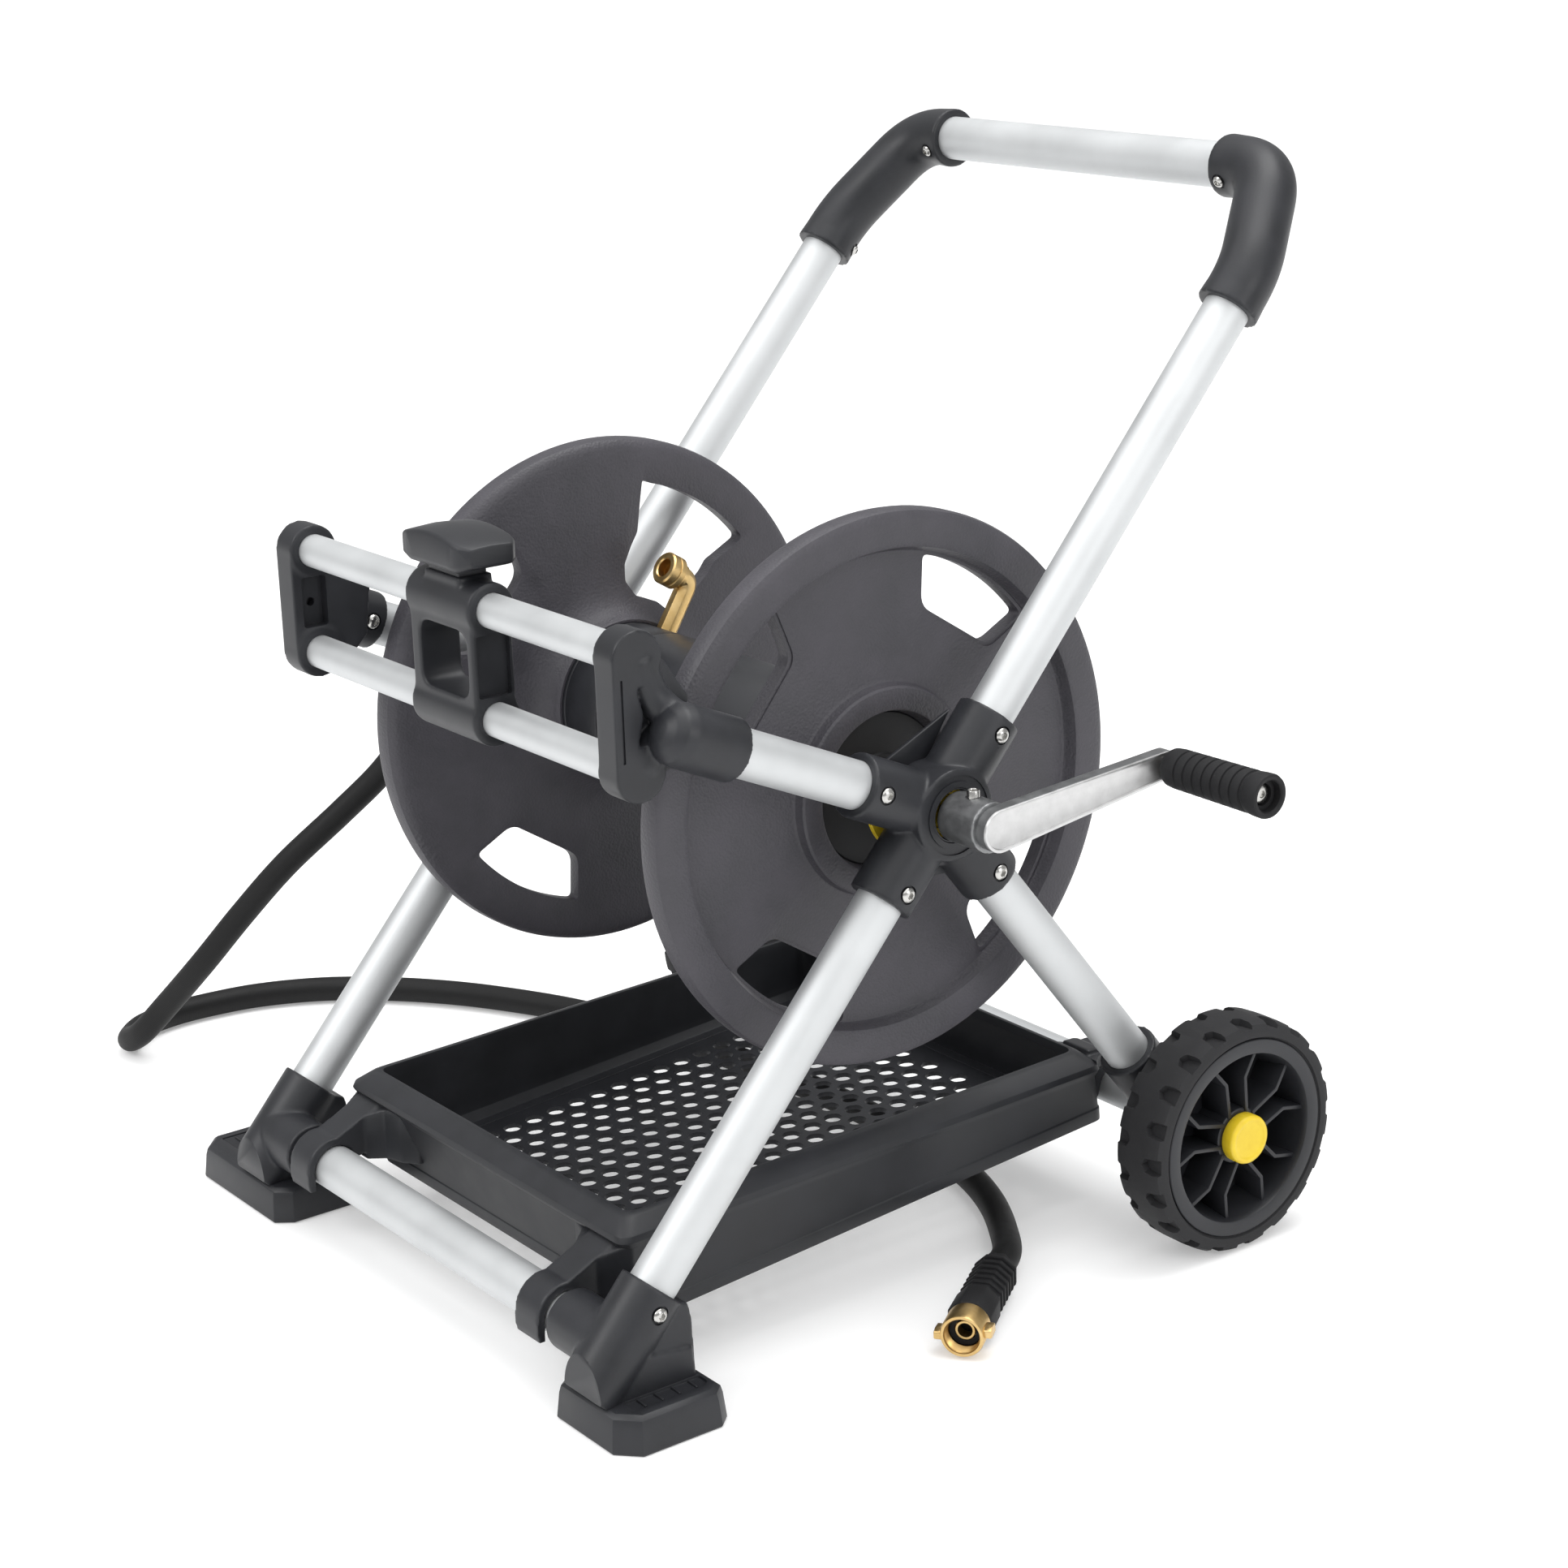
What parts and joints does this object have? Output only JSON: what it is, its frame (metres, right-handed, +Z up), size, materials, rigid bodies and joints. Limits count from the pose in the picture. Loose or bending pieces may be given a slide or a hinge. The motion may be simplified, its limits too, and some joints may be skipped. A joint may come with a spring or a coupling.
{
  "type": "garden hose reel cart",
  "caption": "Wheeled garden hose reel cart: cranked reel on a tubular frame with handle, sliding hose guide, accessory tray and leader hose.",
  "frame": {"origin": "on the ground, under the middle of the cart's bounding box measured without the leader hose", "axes": "+Z up, X along the reel axis with the crank at +X, -Y the front with feet and hose guide, +Y the rear with wheels and handle"},
  "size_m": [1.0834, 0.7038, 0.8198],
  "materials": {
    "moulded_plastic": "pebble-grained charcoal moulding",
    "aluminium_tube": "satin anodised",
    "tyre_rubber": "moulded tread",
    "yellow_plastic": "smooth",
    "brass": "machined",
    "cast_alloy": "cast, polished border",
    "steel": "plated",
    "grip_plastic": "soft-touch, ringed",
    "hose_rubber": "fine braid pattern"
  },
  "bodies": {
    "frame": {"hub_right": "moulded_plastic", "hub_left": "moulded_plastic", "elbow_right": "moulded_plastic", "elbow_left": "moulded_plastic", "foot_right": "moulded_plastic", "foot_left": "moulded_plastic", "axle_connector_right": "moulded_plastic", "axle_connector_left": "moulded_plastic", "guide_bracket_right": "moulded_plastic", "guide_bracket_left": "moulded_plastic", "tray": "moulded_plastic", "handle_tube_right": "aluminium_tube", "handle_tube_left": "aluminium_tube", "front_leg_right": "aluminium_tube", "front_leg_left": "aluminium_tube", "rear_leg_right": "aluminium_tube", "rear_leg_left": "aluminium_tube", "guide_arm_right": "aluminium_tube", "guide_arm_left": "aluminium_tube", "handle_bar": "aluminium_tube", "front_cross_tube": "aluminium_tube", "axle_tube": "aluminium_tube", "guide_bar_upper": "aluminium_tube", "guide_bar_lower": "aluminium_tube", "bushing_right": "yellow_plastic", "bushing_left": "yellow_plastic", "inlet_swivel": "brass", "hose_coupling": "brass", "axle_rod": "steel", "leader_hose": "hose_rubber", "hose_sleeve": "hose_rubber", "hose_washer": "hose_rubber"},
    "reel": {"spindle": "steel", "drum": "moulded_plastic", "reel_flange_right": "moulded_plastic", "reel_flange_left": "moulded_plastic", "drum_outlet": "brass", "crank_arm": "cast_alloy", "crank_set_screw": "steel", "crank_pin": "steel"},
    "crank_grip": {"crank_grip": "grip_plastic"},
    "guide": {"guide_slider": "moulded_plastic", "slider_knob": "moulded_plastic"},
    "wheel_right": {"tyre_right": "tyre_rubber", "wheel_rim_right": "moulded_plastic", "wheel_cap_right": "yellow_plastic"},
    "wheel_left": {"tyre_left": "tyre_rubber", "wheel_rim_left": "moulded_plastic", "wheel_cap_left": "yellow_plastic"}
  },
  "joints": [
    {"name": "reel_spin", "type": "hinge", "parent": "frame", "child": "reel", "pos_m": [-0.0375, -0.03235, 0.385], "axis": [1, 0, 0], "continuous": true},
    {"name": "crank_grip_spin", "type": "hinge", "parent": "reel", "child": "crank_grip", "pos_m": [0.3225, 0.12384, 0.40087], "axis": [1, 0, 0], "continuous": true},
    {"name": "guide_slide", "type": "slide", "parent": "frame", "child": "guide", "axis": [1, 0, 0], "range_m": [-0.167, 0.154]},
    {"name": "wheel_right_spin", "type": "hinge", "parent": "frame", "child": "wheel_right", "pos_m": [0.2625, 0.19905, 0.092], "axis": [1, 0, 0], "continuous": true},
    {"name": "wheel_left_spin", "type": "hinge", "parent": "frame", "child": "wheel_left", "pos_m": [-0.3375, 0.19905, 0.092], "axis": [1, 0, 0], "continuous": true}
  ]
}
